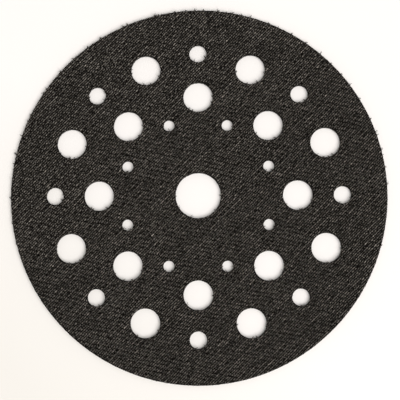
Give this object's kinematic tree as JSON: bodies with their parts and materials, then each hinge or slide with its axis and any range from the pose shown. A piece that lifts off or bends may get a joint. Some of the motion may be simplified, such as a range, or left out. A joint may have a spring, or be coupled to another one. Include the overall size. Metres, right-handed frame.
{
  "type": "sander pad saver disc",
  "caption": "Thin round multi-hole hook-and-loop pad saver that goes between a random orbital sander's backing pad and its abrasive disc, hooks on one face and brushed loops on the other.",
  "frame": {"origin": "centre of the disc at the outer surface of the loop face, the face that grips the backing pad", "axes": "+Z out of the hook face, along the disc's axis; +X through the centre of one hole of the 65 mm ring and one of the 94 mm ring; the 90 mm and 50 mm rings start 22.5 degrees from +X"},
  "size_m": [0.123, 0.123, 0.0025],
  "materials": {
    "loop_pile": "matte",
    "loop_ground": "matte",
    "binder": "satin",
    "hot_melt": "satin",
    "hook_ground": "matte",
    "hook_monofilament": "satin"
  },
  "bodies": {
    "root": {"loop_pile": "loop_pile", "loop_knit": "loop_ground", "loop_root_binder": "binder", "laminating_film": "hot_melt", "hook_root_binder": "binder", "hook_weave": "hook_ground", "hook_pile": "hook_monofilament"}
  },
  "joints": []
}
